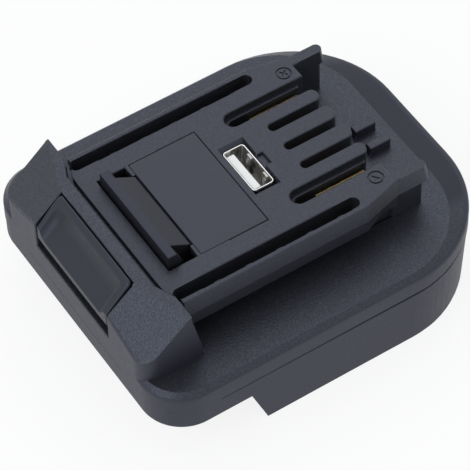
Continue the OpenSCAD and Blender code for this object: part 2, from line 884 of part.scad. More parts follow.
module small_parts() {
    color("#8c7a5c")
        for (p = [[0, -6], [3.2, -6], [-3, -16.4], [0.4, -16.4], [-11.5, 0], [11.5, 0]])
            translate([p[0], p[1], z_parts + seat]) box(-1, 1, -0.6, 0.6, 0, 0.7);
}

// Battery terminals under the roof of the channel

module blade(x) {
    z_tail = tail_top;
    color(brass_colour) along_x(x - blade_t / 2, x + blade_t / 2) polygon([
        [block_y0 - blade_l, z_blade + 0.8], [block_y0 - blade_l + 0.8, z_blade], [block_y0 + 5, z_blade],
        [block_y0 + 5, z_tail], [block_y0 + 1.5, z_tail], [block_y0 + 1.5, z_blade + blade_h],
        [block_y0 - blade_l + 0.8, z_blade + blade_h], [block_y0 - blade_l, z_blade + blade_h - 0.8]
    ]);
}

module positive_blade() {
    blade(-blade_x);
}

module negative_blade() {
    blade(blade_x);
}

module signal_blades() {
    color(brass_colour)
        for (s = [-1, 1])
            translate([s * pitch / 2, 0, 0])
                along_x(-0.4, 0.4) polygon([
                    [block_y0 - 9, z_blade + 1], [block_y0 + 3, z_blade + 1],
                    [block_y0 + 3, tail_top - 1], [block_y0 + 1.5, tail_top - 1],
                    [block_y0 + 1.5, z_blade + 4], [block_y0 - 9, z_blade + 4]
                ]);
}

module terminal_block() {
    ear = blade_x + 7;
    color(inner_colour) difference() {
        union() {
            box(-blade_x - 2.6, blade_x + 2.6, block_y0, block_y1, z_blade - 1.4, skirt_h - seat);
            box(-ear, ear, block_y0, block_y1, skirt_h - 2.6, skirt_h - seat);
        }
        for (x = [-blade_x, blade_x]) translate([x, 0, 0])
            box(-blade_t / 2 - seat, blade_t / 2 + seat, block_y0 - 1, block_y0 + 5 + seat,
                z_blade - seat, far);
        for (s = [-1, 1]) translate([s * pitch / 2, 0, 0])
            box(-0.45, 0.45, block_y0 - 1, block_y0 + 3.05, z_blade + 0.95, far);
        both_sides()
            translate([blade_x + 4.6, (block_y0 + block_y1) / 2, 0])
                cylinder(r = small_screw_r + 0.15, h = far);
    }
}

// Leads inside the casing

lead_r = 0.9;
thin_r = 0.45;
z_lead = z_carrier - carrier_h - 1.2;
usb_pad_x = 7;

module power_lead(tail_x, end_x) {
    start = [tail_x, tail_y + tail[1] / 2 + seat, z_lead];
    finish = [end_x, block_y0 + 1.5 - seat, z_lead - 1.1];
    lead(start, finish, lead_r);
}

// Soldered under the board, then down below the carrier to a tail
module usb_lead(tail_x, board_x) {
    pad_in = 10;
    start = [board_x, board_y1 - pad_in, z_board - thin_r - seat];
    finish = [tail_x, tail_y - tail[1] / 2 - seat, z_lead - 0.4];
    lead(start, finish, thin_r);
}

module positive_lead() {
    color("#b3261e") power_lead(pos_x, -blade_x);
}

module negative_lead() {
    color("#141414") power_lead(power_mid, blade_x);
}

module usb_positive_lead() {
    color("#b3261e") usb_lead(pos_x, -usb_pad_x);
}

module usb_negative_lead() {
    color("#141414") usb_lead(power_mid, usb_pad_x);
}

module signal_leads() {
    color("#d8c23a")
        for (s = [-1, 1]) {
            start = [s * pitch, tail_y + sig_tail[1] / 2 + seat, z_lead];
            finish = [s * pitch / 2, block_y0 + 1.5 - seat, tail_top - 1.6];
            lead(start, finish, thin_r);
        }
}

// Fasteners

module shell_screws() {
    color(steel_colour)
        both_sides()
            for (p = [front_boss, rear_boss])
                translate([p[0], p[1], skirt_h + 0.05])
                    screw(screw_r, shell_screw_l, screw_head_r, screw_head_h);
}

module board_screws() {
    color(steel_colour)
        both_sides()
            for (y = [board_y0 + board_hole[1], board_y1 - board_hole[1]])
                translate([board_hole[0], y, z_parts + seat + small_head_h]) mirror([0, 0, 1])
                    screw(small_screw_r, 5.6, small_head_r, small_head_h);
}

module block_screws() {
    color(steel_colour)
        both_sides()
            translate([blade_x + 4.6, (block_y0 + block_y1) / 2, skirt_h - 2.6 - seat - small_head_h])
                screw(small_screw_r, 2.6 + floor_t, small_head_r, small_head_h);
}

// Latch: button and hook slide down together against two springs

// Room of the thumb dish: two round corners under the button's crest, open over its front edge
module thumb_dish(w, l) {
    corner_r = 3;
    hull()
        for (x = [-1, 1], y = [-l, l / 2 - corner_r])
            translate([x * (w / 2 - corner_r), y, corner_r - dish_d])
                sphere(corner_r, $fn = 24);
}

module release_button() {
    y_face = y_front + 0.15;
    y_back = y_pocket - gap;
    brow = 0.6;
    frame_w = 1.1;
    z_brow = z_button + button_face;
    fall = [y_back - brow - y_face, z_crest - z_brow];
    color("#202227") difference() {
        along_x(-button_w / 2, button_w / 2) polygon([
            [y_face, z_button], [y_back, z_button], [y_back, z_crest], [y_back - brow, z_crest],
            [y_face, z_brow]
        ]);
        translate([0, y_face + fall[0] / 2, z_brow + fall[1] / 2])
            rotate([atan2(fall[1], fall[0]), 0, 0])
                thumb_dish(button_w - 2 * frame_w, norm(fall) - 2 * frame_w);
        for (s = [-1, 1])
            translate([s * peg_x, 0, 0])
                box(-peg[0] / 2 - seat, peg[0] / 2 + seat, y_back - peg[1] - 0.1, y_back + 1,
                    z_base + base_t - peg[2] - seat, z_base + base_t + seat);
    }
}

module latch_hook() {
    y_back = y_hook + hook_l;
    y_button = y_pocket - gap;
    bar = 3.65;
    color("#202227") difference() {
        union() {
            box(-base_w / 2, base_w / 2, y_button + seat, y_back, z_base, z_base + base_t);
            box(-block_w / 2, block_w / 2, y_hook, y_back, z_base, z_block);
            along_x(-hook_w / 2, hook_w / 2) polygon([
                [y_hook, z_base + base_t], [y_hook + bar, z_base + base_t], [y_hook + bar, z_top],
                [y_hook + hook_flat, z_hook], [y_hook, z_hook]
            ]);
            along_x(-block_w / 2, block_w / 2) polygon([
                [y_hook, z_block - eps], [y_back, z_block - eps], [y_back, z_top],
                [y_hook + hook_flat, z_hook], [y_hook, z_hook]
            ]);
            for (s = [-1, 1])
                translate([s * peg_x, 0, 0])
                    box(-peg[0] / 2, peg[0] / 2, y_button - peg[1], y_button + 1,
                        z_base + base_t - peg[2], z_base + base_t);
        }
        both_sides()
            translate([post_x, post_y, z_base - 1])
                cylinder(r = post_r + post_gap, h = z_post + travel + 0.5 - z_base + 1);
    }
}

// One spring as a tube along a helix
module coil(l) {
    rise = (l - spring_wire) / spring_turns;
    ts = [for (i = [0 : spring_turns * spring_rings]) i / spring_rings];
    points = [
        for (t = ts)
            [spring_r * cos(360 * t), spring_r * sin(360 * t), spring_wire / 2 + rise * t]
    ];
    directions = [
        for (t = ts)
            [-spring_r * sin(360 * t), spring_r * cos(360 * t), rise / (2 * PI)]
    ];
    tube(points, directions, spring_wire / 2, spring_sides);
}

module latch_springs() {
    l = z_base - z_floor - 2 * seat;
    turn_gap = (l - spring_wire) / spring_turns - spring_wire;
    echo(least_gap_between_spring_turns = turn_gap);
    color(steel_colour)
        for (s = [-1, 1]) translate([s * post_x, post_y, z_floor + seat]) coil(l);
}

lower_shell();
upper_cover();
rail_platform();
label_panel();
contact_carrier();
positive_clip();
negative_clip();
signal_clips();
usb_shell();
usb_insulator();
usb_contacts();
circuit_board();
choke();
capacitors();
converter_chip();
small_parts();
terminal_block();
positive_blade();
negative_blade();
signal_blades();
positive_lead();
negative_lead();
usb_positive_lead();
usb_negative_lead();
signal_leads();
shell_screws();
board_screws();
block_screws();
release_button();
latch_hook();
latch_springs();
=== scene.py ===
"""Finished look of the tool battery adapter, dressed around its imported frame.

Functions work in millimetres, and meshes are written in metres.
X runs across, Y from the release button to the terminals, Z up from the resting face.
"""
import json
import math

import bmesh
import bpy
import numpy as np
from mathutils import Matrix, Vector
from mathutils.kdtree import KDTree

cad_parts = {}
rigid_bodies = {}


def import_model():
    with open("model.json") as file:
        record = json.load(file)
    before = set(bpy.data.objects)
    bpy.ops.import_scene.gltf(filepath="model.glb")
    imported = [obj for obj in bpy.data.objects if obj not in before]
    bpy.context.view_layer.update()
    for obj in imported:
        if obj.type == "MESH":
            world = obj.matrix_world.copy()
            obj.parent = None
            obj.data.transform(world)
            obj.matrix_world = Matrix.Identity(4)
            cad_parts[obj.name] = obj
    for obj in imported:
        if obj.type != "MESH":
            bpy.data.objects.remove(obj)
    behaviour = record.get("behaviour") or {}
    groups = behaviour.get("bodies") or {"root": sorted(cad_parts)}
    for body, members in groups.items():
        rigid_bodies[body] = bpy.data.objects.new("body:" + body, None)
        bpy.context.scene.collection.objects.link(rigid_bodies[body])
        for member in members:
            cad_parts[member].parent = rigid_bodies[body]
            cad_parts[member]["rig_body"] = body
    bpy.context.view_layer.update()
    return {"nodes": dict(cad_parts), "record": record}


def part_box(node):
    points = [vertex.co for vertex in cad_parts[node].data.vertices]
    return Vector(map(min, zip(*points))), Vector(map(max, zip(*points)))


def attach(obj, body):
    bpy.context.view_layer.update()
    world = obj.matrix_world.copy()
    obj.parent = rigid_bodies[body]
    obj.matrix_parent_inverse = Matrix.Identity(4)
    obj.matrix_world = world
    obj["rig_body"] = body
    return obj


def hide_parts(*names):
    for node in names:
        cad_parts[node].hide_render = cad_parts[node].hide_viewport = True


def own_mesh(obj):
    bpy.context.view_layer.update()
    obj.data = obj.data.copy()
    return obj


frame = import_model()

bl_info = {
    "name": "Tool battery adapter",
    "version": (1, 0, 0),
    "blender": (4, 5, 0),
    "location": "3D View > Sidebar > Adapter",
    "description": "Dresses the packed adapter with rounded edges, finishes, a stage and a camera",
    "category": "Object",
}

MM = 0.001
OWN = "adapter_"    # start of this file's material names, as the frame has materials of its own
RECORD = frame["record"]
COLOUR_OF = {entry["slot"]: tuple(entry["base_color"]) for entry in RECORD["materials"]}


# Sizes and colours that a user would change

def length(name, description, default):
    """A size in millimetres."""
    return bpy.props.FloatProperty(name=name, description=description, default=default, min=0.0)


def share(name, description, default):
    """A number from 0 to 1."""
    return bpy.props.FloatProperty(
        name=name, description=description, default=default, min=0.0, max=1.0, subtype="FACTOR"
    )


def angle(name, description, degrees):
    """An angle, given in degrees."""
    return bpy.props.FloatProperty(
        name=name, description=description, default=math.radians(degrees), subtype="ANGLE"
    )


def colour(name, description, default):
    """A linear colour."""
    return bpy.props.FloatVectorProperty(
        name=name, description=description, default=default, size=3, min=0.0, max=1.0, subtype="COLOR"
    )


class AdapterFinish(bpy.types.PropertyGroup):
    """Colours and surface of the mouldings, the metals and the wires."""

    casing: colour("Casing", "Black of the casings and the platform", (0.0138, 0.0138, 0.0165))
    satin_casing: colour("Satin casing", "Black of the smooth rim and skirt", (0.0150, 0.0145, 0.0215))
    latch: colour("Latch", "Black of the button and the hook", (0.0085, 0.0083, 0.0105))
    panel: colour("Panel", "Black of the bare panel", (0.0138, 0.0140, 0.0170))
    inner: colour("Inner plastic", "Black of the inner mouldings", COLOUR_OF["inner_plastic"])
    white: colour("White plastic", "White of the socket's tongue", COLOUR_OF["white_plastic"])
    brass: colour("Brass", "Contacts and blades", (0.42, 0.31, 0.14))
    socket: colour("Socket metal", "Sheet metal of the charging socket", COLOUR_OF["socket_metal"])
    steel: colour("Steel", "Screws and springs", COLOUR_OF["screw_steel"])
    laminate: colour("Laminate", "Green of the circuit board", COLOUR_OF["board_laminate"])
    ferrite: colour("Ferrite", "Cores and small parts", COLOUR_OF["ferrite"])
    can: colour("Capacitor sleeve", "Sleeve of the capacitors", COLOUR_OF["capacitor_sleeve"])
    red: colour("Red sleeve", "Positive leads", COLOUR_OF["red_sleeve"])
    black: colour("Black sleeve", "Negative leads", COLOUR_OF["black_sleeve"])
    yellow: colour("Yellow sleeve", "Signal leads", COLOUR_OF["yellow_sleeve"])
    grain_size: length("Grain size", "Spacing of the casing's grain in millimetres", 0.27)
    grain_depth: length("Grain depth", "Height of the casing's grain in millimetres", 0.06)
    sheen: colour("Sheen", "Tint of the light that the black plastics throw back", (0.69, 0.77, 1.0))
    satin: share("Satin", "Roughness of the smooth casing", 0.5)
    latch_satin: share("Latch satin", "Roughness of the button and the hook", 0.46)
    matt: share("Matt", "Roughness of the grained mouldings", 0.34)


class AdapterShape(bpy.types.PropertyGroup):
    """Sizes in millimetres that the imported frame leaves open."""

    edge: length("Edge", "Rounding of the mouldings' edges", 0.35)
    fine_edge: length("Fine edge", "Rounding of the small pieces' edges", 0.1)
    button_face: length("Button face", "Height of the button's upright front face", 4.0)
    button_brow: length("Button brow", "Depth of the button's flat top", 0.6)
    dish: length("Thumb dish", "Depth of the button's thumb dish", 1.5)
    dish_frame: length("Dish frame", "Width of the frame round the thumb dish", 1.1)
    sheet: length("Socket sheet", "Thickness of the socket's sheet metal", 0.3)
    coil_r: length("Spring radius", "Radius of the springs at the middle of the wire", 2.7)
    wire: length("Spring wire", "Diameter of the spring wire", 0.7)
    turns: bpy.props.IntProperty(name="Turns", description="Turns of each spring", default=5, min=1)
    lead_r: length("Power lead", "Radius of the power leads", 0.9)
    thin_r: length("Thin lead", "Radius of the board and signal leads", 0.45)


class AdapterStage(bpy.types.PropertyGroup):
    """Floor, light and camera."""

    floor: colour("Floor", "Colour of the floor", (0.9, 0.9, 0.9))
    azimuth: angle("Azimuth", "Turn of the camera round the part", 58.729)
    elevation: angle("Elevation", "Height of the camera above the horizon", 51.567)
    roll: angle("Roll", "Turn of the camera about its own axis", -2.099)
    distance: length("Distance", "From the camera to the socket in millimetres", 666.5)
    aside: length("Aside", "How far the socket lies right of the picture's middle", 2.917)
    above: length("Above", "How far the socket lies above the picture's middle", 15.315)
    lens: length("Lens", "Focal length in millimetres", 229.79)
    ambient: share("Ambient", "Strength of the light from all round", 0.8)
    rear_power: bpy.props.FloatProperty(
        name="Rear", description="Power of the soft light above the far end", default=0.6, unit="POWER"
    )
    front_power: bpy.props.FloatProperty(
        name="Front", description="Power of the soft light above the front", default=1.4, unit="POWER"
    )


GROUPS = {"adapter_finish": AdapterFinish, "adapter_shape": AdapterShape, "adapter_stage": AdapterStage}


# Meshes

def node_box(node):
    """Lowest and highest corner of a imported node, in millimetres."""
    low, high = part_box(node)
    return np.array(low) / MM, np.array(high) / MM


def rings(points, closed=False):
    """Vertices and faces of a tube: points[i, j] is point j of ring i, and each ring is closed.

    Quads join the rings. If the last ring doesn't meet the first, each end gets a flat cap.
    """
    rows, cols = points.shape[:2]
    i = np.arange(rows if closed else rows - 1)[:, None]
    j = np.arange(cols)[None, :]
    i_next = (i + 1) % rows
    j_next = (j + 1) % cols
    quads = np.stack([i * cols + j, i * cols + j_next, i_next * cols + j_next, i_next * cols + j], -1)
    faces = quads.reshape(-1, 4).tolist()
    if not closed:
        faces.append(list(range(cols)))
        faces.append(list(range((rows - 1) * cols, rows * cols)))
    return points.reshape(-1, 3), faces


def new_piece(name, shells):
    """An object at the origin from one or more closed shells, with its faces turned outwards."""
    crease = math.radians(40)
    points, faces, start = [], [], 0
    for shell_points, shell_faces in shells:
        points.append(shell_points)
        faces += [[start + k for k in face] for face in shell_faces]
        start += len(shell_points)
    mesh = bpy.data.meshes.new(name)
    mesh.from_pydata((np.concatenate(points) * MM).tolist(), [], faces)
    bm = bmesh.new()
    bm.from_mesh(mesh)
    bmesh.ops.recalc_face_normals(bm, faces=bm.faces)
    bm.to_mesh(mesh)
    bm.free()
    mesh.shade_smooth()
    mesh.set_sharp_from_angle(angle=crease)
    piece = bpy.data.objects.new(name, mesh)
    bpy.context.scene.collection.objects.link(piece)
    return piece


def cut_places(bm, axis):
    """Places along an axis, in millimetres, midway between the straight creases that lie square to it.

    A gap between creases gets one cut for each run of millimetres, and none where it is under the least.
    """
    least, run, shortest, level_within, crease = 1.0, 6.0, 0.6, 0.001, 0.1
    ends = np.array([[v.co[axis] for v in line.verts] for line in bm.edges]) / MM
    long = np.array([line.calc_length() > shortest * MM for line in bm.edges])
    bent = np.array([line.calc_face_angle(0) > crease for line in bm.edges])
    level = np.abs(ends[:, 0] - ends[:, 1]) < level_within
    places = np.unique(np.round([ends.min(), *ends[level & long & bent, 0], ends.max()], 2))
    cuts = []
    for low, high in zip(places[:-1], places[1:]):
        if high - low > least:
            count = max(1, round((high - low) / run))
            cuts += list(low + (high - low) * (np.arange(count) + 0.5) / count)
    return cuts


def cut_flat_faces(bm):
    """Flat faces of a node's mesh, without holes: big faces are cut along planes square to the axes."""
    merge, on_plane, flat = 0.004 * MM, 1e-7, math.radians(0.6)
    bmesh.ops.remove_doubles(bm, verts=bm.verts, dist=merge)
    places = [(axis, place) for axis in range(3) for place in cut_places(bm, axis)]
    for axis, place in places:
        square = Vector((0, 0, 0))
        square[axis] = 1
        everything = bm.verts[:] + bm.edges[:] + bm.faces[:]
        made = bmesh.ops.bisect_plane(
            bm, geom=everything, dist=on_plane, plane_co=square * place * MM, plane_no=square
        )
        for item in made["geom_cut"]:
            if isinstance(item, bmesh.types.BMEdge):
                item.seam = True
    bmesh.ops.remove_doubles(bm, verts=bm.verts, dist=merge)
    bmesh.ops.dissolve_limit(bm, angle_limit=flat, verts=bm.verts, edges=bm.edges, delimit={"SEAM"})


def edge_rooms(bm, hard):
    """How wide each edge can be rounded, in metres, from the narrowest of its two faces.

    The edge takes a share of the way across the face to the edge opposite. At a corner between two hard
    edges the roundings meet on the bisector, so each gets tan(half the corner) of the shorter edge.
    At a corner with an edge that stays sharp, the rounding runs along that edge for width / sin(corner).
    An edge counts as opposite if the way to it lies within 45 degrees of straight across, and a corner
    limits the rounding if it is well under a straight angle.
    """
    part, straight_across, bend, widest = 0.35, 0.7, 2.6, 3.0
    room = np.full(len(bm.edges), np.inf)
    for face in bm.faces:
        index = np.array([loop.edge.index for loop in face.loops])
        start = np.array([loop.vert.co for loop in face.loops])
        along = np.roll(start, -1, 0) - start
        size = np.linalg.norm(along, axis=1)
        unit = along / size[:, None]
        inward = np.cross(np.array(face.normal), unit)
        to_start = start[None] - (start + along / 2)[:, None]
        t = np.clip(-(to_start * unit[None]).sum(-1) / size[None], 0, 1)
        nearest = to_start + t[..., None] * along[None]
        gap = np.linalg.norm(nearest, axis=-1)
        across = (nearest * inward[:, None]).sum(-1)
        fits = np.where(across > straight_across * gap, gap, np.inf).min(1)
        corner = np.array([loop.calc_angle() if loop.is_convex else np.pi for loop in face.loops])
        bent = corner < bend
        before = np.roll(size, 1)
        both = hard[index] & np.roll(hard[index], 1)
        meet = np.tan(np.minimum(corner, widest) / 2) * np.minimum(size, before)
        after_corner = np.where(both, meet, np.sin(corner) * before)
        before_corner = np.where(both, meet, np.sin(corner) * size)
        fits = np.minimum(fits, np.where(bent, after_corner, np.inf))
        fits = np.minimum(fits, np.roll(np.where(bent, before_corner, np.inf), -1))
        np.minimum.at(room, index, part * fits)
    return room


def edge_weights(mesh):
    """The rounding of each edge, as a share of the widest."""
    weights = np.empty(len(mesh.edges), np.float32)
    mesh.attributes["bevel_weight_edge"].data.foreach_get("value", weights)
    return weights


def folded_places(piece):
    """Corners of the faces that the rounding has folded over: their triangles cover more than the face."""
    least, part = 0.005 * MM**2, 0.01
    shape = piece.evaluated_get(bpy.context.evaluated_depsgraph_get()).to_mesh()
    shape.calc_loop_triangles()
    owner = np.empty(len(shape.loop_triangles), np.int32)
    cover = np.empty(len(shape.loop_triangles), np.float32)
    whole = np.empty(len(shape.polygons), np.float32)
    shape.loop_triangles.foreach_get("polygon_index", owner)
    shape.loop_triangles.foreach_get("area", cover)
    shape.polygons.foreach_get("area", whole)
    excess = np.bincount(owner, cover, len(whole)) - whole
    folded = np.flatnonzero(excess > np.maximum(least, part * whole))
    return [shape.vertices[k].co.copy() for face in folded for k in shape.polygons[face].vertices]


def ease_folds(piece):
    """Narrows the rounding near folded faces, or drops a narrow one, and tells whether there were any."""
    near, keep = 0.6 * MM, 0.4
    bpy.context.view_layer.update()
    places = folded_places(piece)
    if not places:
        return False
    tree = KDTree(len(places))
    for index, place in enumerate(places):
        tree.insert(place, index)
    tree.balance()
    close = np.array([tree.find(vertex.co)[2] < near for vertex in piece.data.vertices])
    ends = np.empty(2 * len(piece.data.edges), np.int32)
    piece.data.edges.foreach_get("vertices", ends)
    weights = edge_weights(piece.data)
    eased = np.where(weights > keep, keep * weights, 0.0)
    weights = np.where(close[ends].reshape(-1, 2).any(1), eased, weights)
    piece.data.attributes["bevel_weight_edge"].data.foreach_set("value", weights.astype(np.float32))
    piece.data.update()
    return True


def even_normals(mesh, strip):
    """Gives each corner its face's normal, smoothed only with faces that turn little from it.

    A strip of a rounding takes the normal of the face that it touches there, or else the strips' mean.
    """
    alike, tiny = math.cos(math.radians(7)), 1e-20
    normal = np.array([face.normal for face in mesh.polygons])
    area = np.array([face.area for face in mesh.polygons])
    around = [[] for _ in mesh.vertices]
    for face in mesh.polygons:
        for corner in face.vertices:
            around[corner].append(face.index)
    around = [np.array(faces) for faces in around]
    plain = [faces[~strip[faces]] for faces in around]
    normals = []
    for face in mesh.polygons:
        for corner in face.vertices:
            own = normal[face.index]
            near = plain[corner]
            if len(near):
                if strip[face.index]:
                    own = normal[near[np.argmax(normal[near] @ own)]]
                near = near[normal[near] @ own > alike]
            else:
                near = around[corner]
            mean = area[near] @ normal[near]
            normals.append(mean / max(np.linalg.norm(mean), tiny))
    mesh.normals_split_custom_set(normals)


def weighted_mesh(node, name, edge):
    """Flat faces of a node's mesh, whose outer edges carry their rounding as a share of edge millimetres.

    An edge with room for less than a small share of that stays sharp.
    """
    sharp, least = math.radians(50), 0.15
    bm = bmesh.new()
    bm.from_mesh(frame["nodes"][node].data)
    cut_flat_faces(bm)
    bm.edges.index_update()
    turn = np.array([line.calc_face_angle(0) for line in bm.edges])
    hard = np.array([line.is_manifold and line.is_convex for line in bm.edges]) & (turn > sharp)
    weights = np.where(hard, np.minimum(edge_rooms(bm, hard) / (edge * MM), 1.0), 0.0)
    weights = np.where(weights > least, weights, 0.0)
    layer = bm.edges.layers.float.new("bevel_weight_edge")
    for line, weight in zip(bm.edges, weights):
        line[layer] = weight
    mesh = bpy.data.meshes.new(name)
    bm.to_mesh(mesh)
    bm.free()
    if "custom_normal" in mesh.attributes:
        mesh.attributes.remove(mesh.attributes["custom_normal"])
    mesh.shade_smooth()
    return mesh


def dressed(node, name, edge):
    """Copy of a node's mesh with its outer edges rounded, edge millimetres wide at most.

    Until the normals are set, the strips of the rounding have a material slot of their own.
    """
    face_slot, strip_slot, tries = 0, 1, 6
    flat_mesh = weighted_mesh(node, name, edge)
    for _ in (face_slot, strip_slot):
        flat_mesh.materials.append(None)
    piece = bpy.data.objects.new(name, flat_mesh)
    bpy.context.scene.collection.objects.link(piece)
    bevel = piece.modifiers.new("rounded_edges", "BEVEL")
    bevel.width = edge * MM
    bevel.segments = 3
    bevel.limit_method = "WEIGHT"
    bevel.use_clamp_overlap = False
    bevel.material = strip_slot
    for _ in range(tries):
        if not ease_folds(piece):
            break
    bpy.context.view_layer.update()
    rounded = bpy.data.meshes.new_from_object(piece.evaluated_get(bpy.context.evaluated_depsgraph_get()))
    piece.modifiers.clear()
    piece.data = rounded
    bpy.data.meshes.remove(flat_mesh)
    rounded.name = name
    even_normals(rounded, np.array([face.material_index == strip_slot for face in rounded.polygons]))
    rounded.polygons.foreach_set("material_index", [face_slot] * len(rounded.polygons))
    return piece


def stand_for(piece, material, *nodes):
    """The piece takes the place and the body of the nodes, and wears the material."""
    piece.data.materials.clear()
    piece.data.materials.append(material)
    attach(piece, frame["nodes"][nodes[0]]["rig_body"])
    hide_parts(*nodes)
    return piece


# Materials

class Graph:
    """A material's nodes, with one call for each node."""

    def __init__(self, name):
        self.material = bpy.data.materials.new(OWN + name)
        self.material.use_nodes = True
        self.tree = self.material.node_tree
        self.tree.nodes.clear()
        self.place = self.node("ShaderNodeTexCoord").outputs["Object"]

    def node(self, kind, inputs=None, **settings):
        """A node with its settings, whose inputs are values or other nodes' outputs."""
        made = self.tree.nodes.new(kind)
        for key, value in settings.items():
            setattr(made, key, value)
        for key, value in (inputs or {}).items():
            if isinstance(value, bpy.types.NodeSocket):
                self.tree.links.new(value, made.inputs[key])
            else:
                made.inputs[key].default_value = value
        return made

    def noise(self, size, detail=2.0, stretch=(1, 1, 1)):
        """Noise from 0 to 1 with spots of the size in millimetres, longer where stretch is under 1."""
        fine_share = 0.55
        place = self.node("ShaderNodeMapping", {"Vector": self.place, "Scale": stretch}).outputs[0]
        inputs = {"Vector": place, "Scale": 1 / (size * MM), "Detail": detail, "Roughness": fine_share}
        return self.node("ShaderNodeTexNoise", inputs).outputs["Fac"]

    def cells(self, size):
        """Round bumps of the size in millimetres, 0 at their middle."""
        inputs = {"Vector": self.place, "Scale": 1 / (size * MM)}
        return self.node("ShaderNodeTexVoronoi", inputs).outputs["Distance"]

    def math(self, operation, first, second=0.0, clamp=False):
        """A sum, product or other step on two numbers."""
        made = self.node("ShaderNodeMath", {0: first, 1: second}, operation=operation, use_clamp=clamp)
        return made.outputs[0]

    def span(self, value, low, high, to_low=0.0, to_high=1.0, smooth=False):
        """The value moved from the range low to high into to_low to to_high."""
        inputs = {"Value": value, "From Min": low, "From Max": high, "To Min": to_low, "To Max": to_high}
        kind = "SMOOTHSTEP" if smooth else "LINEAR"
        return self.node("ShaderNodeMapRange", inputs, interpolation_type=kind).outputs["Result"]

    def blend(self, factor, first, second):
        """A mix of two colours."""
        made = self.node("ShaderNodeMix", data_type="RGBA")
        links = ((0, factor), (6, first), (7, second))
        for index, value in links:
            if isinstance(value, bpy.types.NodeSocket):
                self.tree.links.new(value, made.inputs[index])
            else:
                made.inputs[index].default_value = (*value, 1.0) if index else value
        return made.outputs[2]

    def shade(self, value, base, dark=0.85, light=1.15):
        """The base colour, darker where value is 0 and lighter where it is 1."""
        return self.blend(value, tuple(dark * c for c in base), tuple(min(1, light * c) for c in base))

    def axis(self, name):
        """One coordinate of the place in metres."""
        return self.node("ShaderNodeSeparateXYZ", {"Vector": self.place}).outputs[name]

    def facing(self, name):
        """One coordinate of the surface's normal."""
        normal = self.node("ShaderNodeTexCoord").outputs["Normal"]
        return self.node("ShaderNodeSeparateXYZ", {"Vector": normal}).outputs[name]

    def bump(self, height, depth, strength=1.0):
        """Normals of a relief whose height runs over depth millimetres."""
        inputs = {"Height": height, "Distance": depth * MM, "Strength": strength}
        return self.node("ShaderNodeBump", inputs).outputs["Normal"]

    def black_plastic(self, finish, **inputs):
        """The shader of a black moulding, whose sheen has a cool tint."""
        return self.close(IOR=1.55, Specular_Tint=finish.sheen[:], **inputs)

    def close(self, **inputs):
        """The shader and the output; an input's name has _ for its spaces."""
        named = {key.replace("_", " "): value for key, value in inputs.items()}
        named = {key: (*v, 1.0) if isinstance(v, tuple) and len(v) == 3 else v for key, v in named.items()}
        shader = self.node("ShaderNodeBsdfPrincipled", named)
        self.node("ShaderNodeOutputMaterial", {"Surface": shader.outputs[0]})
        return self.material


def grain(graph, size):
    """Spark-eroded grain: fine noise over small round pits."""
    pit_size, pit_depth = 1.6 * size, 0.5
    fine = graph.noise(size, detail=3.0)
    pits = graph.cells(pit_size)
    return graph.math("ADD", fine, graph.math("MULTIPLY", pits, pit_depth))


def grained_plastic(finish):
    """Platform: black plastic with a fine grain that also varies its gloss."""
    graph = Graph("grained_platform")
    speck = grain(graph, finish.grain_size)
    return graph.black_plastic(
        finish,
        Base_Color=graph.shade(graph.span(speck, 0.4, 1.0), finish.casing[:], 0.6, 1.4),
        Roughness=graph.span(speck, 0.3, 1.0, finish.matt - 0.06, finish.matt + 0.1),
        Specular_IOR_Level=graph.span(speck, 0.4, 1.0, 0.4, 0.6),
        Normal=graph.bump(speck, 0.7 * finish.grain_depth),
    )


def cover_plastic(finish):
    """Upper casing: grained on the deck, its side borders and the ears, smooth on the rest.

    The rim and the front wall stand upright, and the border at the round end slopes a little, so the upward
    part of the normal tells them from the grained faces. That border also shines less.
    """
    graph = Graph("upper_casing")
    rim_z = 20.9 * MM
    past_upright, short_of_border = (0.3, 0.4), (0.94, 0.95)
    past_slope, near_level = (0.95, 0.96), (0.99, 0.996)
    dull, shiny = 0.34, 0.5
    above = graph.math("GREATER_THAN", graph.axis("Z"), rim_z)
    upward = graph.facing("Z")
    steep = graph.span(upward, *short_of_border, 1.0, 0.0)
    steep = graph.math("MULTIPLY", graph.span(upward, *past_upright), steep)
    level = graph.span(upward, *near_level)
    mask = graph.math("MULTIPLY", above, graph.math("ADD", steep, level))
    border = graph.math("MULTIPLY", above, graph.math("SUBTRACT", graph.span(upward, *past_slope), level))
    speck = grain(graph, finish.grain_size)
    tone = graph.shade(graph.span(speck, 0.4, 1.0), finish.casing[:], 0.6, 1.4)
    cloud = graph.shade(graph.noise(14), finish.satin_casing[:], 0.9, 1.1)
    polish = graph.span(graph.noise(0.9), 0.2, 0.8, -0.04, 0.04)
    rough = graph.span(mask, 0.0, 1.0, finish.satin, finish.matt)
    uneven = graph.math("MULTIPLY", mask, graph.span(speck, 0.4, 1.0, -0.14, 0.14))
    shine = graph.span(border, 0.0, 1.0, shiny, dull)
    return graph.black_plastic(
        finish,
        Base_Color=graph.blend(mask, cloud, tone),
        Roughness=graph.math("ADD", rough, polish),
        Specular_IOR_Level=graph.math("ADD", shine, uneven),
        Normal=graph.bump(graph.math("MULTIPLY", speck, mask), finish.grain_depth),
    )


def satin_plastic(name, finish, base, roughness, ripple=0.004):
    """Smooth moulding: a faint flow pattern, with the gloss varying a little."""
    graph = Graph(name)
    cloud = graph.noise(9, detail=3.0)
    polish = graph.noise(0.8)
    return graph.black_plastic(
        finish,
        Base_Color=graph.shade(graph.span(cloud, 0.25, 0.75), base, 0.9, 1.1),
        Roughness=graph.span(polish, 0.2, 0.8, roughness - 0.05, roughness + 0.05),
        Normal=graph.bump(polish, ripple),
    )


